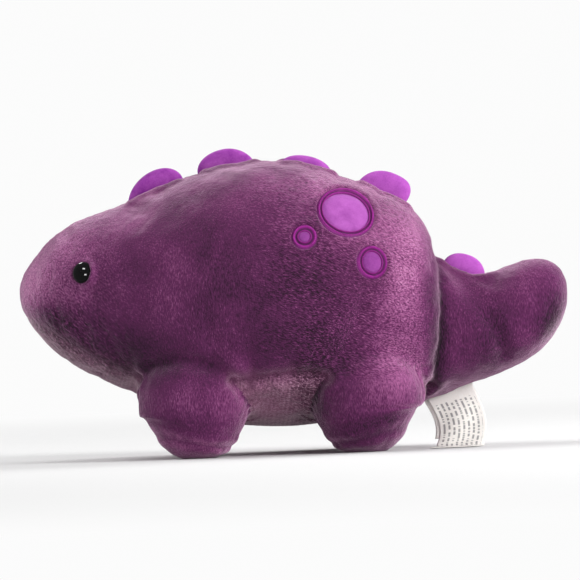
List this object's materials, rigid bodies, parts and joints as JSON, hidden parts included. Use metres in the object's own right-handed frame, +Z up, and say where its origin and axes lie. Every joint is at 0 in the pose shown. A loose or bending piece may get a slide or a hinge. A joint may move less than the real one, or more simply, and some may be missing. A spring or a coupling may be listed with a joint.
{
  "type": "stuffed dinosaur",
  "caption": "Soft standing dinosaur with pile fabric panels over stuffing, rounded back plates, stitched spots and a flexible tail and legs.",
  "frame": {"origin": "middle of the footprint's box, on the surface that the soles stand on", "axes": "+Z up, -X out of the nose and +X along the tail, -Y the toy's own left side"},
  "size_m": [0.29, 0.1142, 0.1627],
  "materials": {
    "body": "matte",
    "belly": "matte",
    "plate": "matte",
    "patch": "matte",
    "border": "satin",
    "eye": "gloss",
    "washer": "matte",
    "stuffing": "matte",
    "label": "satin"
  },
  "bodies": {
    "torso": {"side_panel_left": "body", "side_panel_right": "body", "belly_panel": "belly", "body_stuffing": "stuffing", "eye_left": "eye", "eye_right": "eye", "eye_washer_left": "washer", "eye_washer_right": "washer", "large_spot_border_left": "border", "large_spot_patch_left": "patch", "large_spot_border_right": "border", "large_spot_patch_right": "patch", "small_spot_border_left": "border", "small_spot_patch_left": "patch", "small_spot_border_right": "border", "small_spot_patch_right": "patch", "medium_spot_border_left": "border", "medium_spot_patch_left": "patch", "medium_spot_border_right": "border", "medium_spot_patch_right": "patch"},
    "tail": {"tail_panel_left": "body", "tail_panel_right": "body", "tail_stuffing": "stuffing"},
    "front_left_leg": {"front_left_leg_outer_panel": "body", "front_left_leg_inner_panel": "body", "front_left_leg_sole": "body", "front_left_leg_stuffing": "stuffing"},
    "front_right_leg": {"front_right_leg_outer_panel": "body", "front_right_leg_inner_panel": "body", "front_right_leg_sole": "body", "front_right_leg_stuffing": "stuffing"},
    "rear_left_leg": {"rear_left_leg_outer_panel": "body", "rear_left_leg_inner_panel": "body", "rear_left_leg_sole": "body", "rear_left_leg_stuffing": "stuffing"},
    "rear_right_leg": {"rear_right_leg_outer_panel": "body", "rear_right_leg_inner_panel": "body", "rear_right_leg_sole": "body", "rear_right_leg_stuffing": "stuffing"},
    "back_plate_1": {"back_plate_1_left_face": "plate", "back_plate_1_right_face": "plate", "back_plate_1_fill": "stuffing"},
    "back_plate_2": {"back_plate_2_left_face": "plate", "back_plate_2_right_face": "plate", "back_plate_2_fill": "stuffing"},
    "back_plate_3": {"back_plate_3_left_face": "plate", "back_plate_3_right_face": "plate", "back_plate_3_fill": "stuffing"},
    "back_plate_4": {"back_plate_4_left_face": "plate", "back_plate_4_right_face": "plate", "back_plate_4_fill": "stuffing"},
    "back_plate_5": {"back_plate_5_left_face": "plate", "back_plate_5_right_face": "plate", "back_plate_5_fill": "stuffing"},
    "care_label": {"care_label_front": "label", "care_label_back": "label"}
  },
  "joints": [
    {"name": "tail_wag", "type": "hinge", "parent": "torso", "child": "tail", "pos_m": [0.091, 0, 0.065], "axis": [0.1386, 0, 0.9903], "range_deg": [-20, 20], "stiffness_Nm_per_rad": 0.05},
    {"name": "front_left_leg_swing", "type": "hinge", "parent": "torso", "child": "front_left_leg", "pos_m": [-0.0555, -0.036, 0.028], "axis": [0, 1, 0], "range_deg": [-12, 12], "stiffness_Nm_per_rad": 0.15},
    {"name": "front_right_leg_swing", "type": "hinge", "parent": "torso", "child": "front_right_leg", "pos_m": [-0.0555, 0.036, 0.028], "axis": [0, 1, 0], "range_deg": [-12, 12], "stiffness_Nm_per_rad": 0.15},
    {"name": "rear_left_leg_swing", "type": "hinge", "parent": "torso", "child": "rear_left_leg", "pos_m": [0.0375, -0.036, 0.028], "axis": [0, 1, 0], "range_deg": [-12, 12], "stiffness_Nm_per_rad": 0.15},
    {"name": "rear_right_leg_swing", "type": "hinge", "parent": "torso", "child": "rear_right_leg", "pos_m": [0.0375, 0.036, 0.028], "axis": [0, 1, 0], "range_deg": [-12, 12], "stiffness_Nm_per_rad": 0.15},
    {"name": "back_plate_1_lean", "type": "hinge", "parent": "torso", "child": "back_plate_1", "pos_m": [-0.07119, 0, 0.14202], "axis": [0.9266, 0, 0.3759], "range_deg": [-22, 22], "stiffness_Nm_per_rad": 0.004},
    {"name": "back_plate_2_lean", "type": "hinge", "parent": "torso", "child": "back_plate_2", "pos_m": [-0.03108, 0, 0.15399], "axis": [0.9872, 0, 0.1595], "range_deg": [-22, 22], "stiffness_Nm_per_rad": 0.004},
    {"name": "back_plate_3_lean", "type": "hinge", "parent": "torso", "child": "back_plate_3", "pos_m": [0.01113, 0, 0.1525], "axis": [0.9631, 0, -0.2691], "range_deg": [-22, 22], "stiffness_Nm_per_rad": 0.004},
    {"name": "back_plate_4_lean", "type": "hinge", "parent": "torso", "child": "back_plate_4", "pos_m": [0.05175, 0, 0.13659], "axis": [0.8692, 0, -0.4945], "range_deg": [-22, 22], "stiffness_Nm_per_rad": 0.004},
    {"name": "back_plate_5_lean", "type": "hinge", "parent": "tail", "child": "back_plate_5", "pos_m": [0.09165, 0, 0.09352], "axis": [0.9535, 0, -0.3015], "range_deg": [-22, 22], "stiffness_Nm_per_rad": 0.004},
    {"name": "care_label_flap", "type": "hinge", "parent": "tail", "child": "care_label", "pos_m": [0.0813, -0.0015, 0.0284], "axis": [-0.9563, 0, -0.2924], "range_deg": [0, 25], "stiffness_Nm_per_rad": 0.0008}
  ]
}
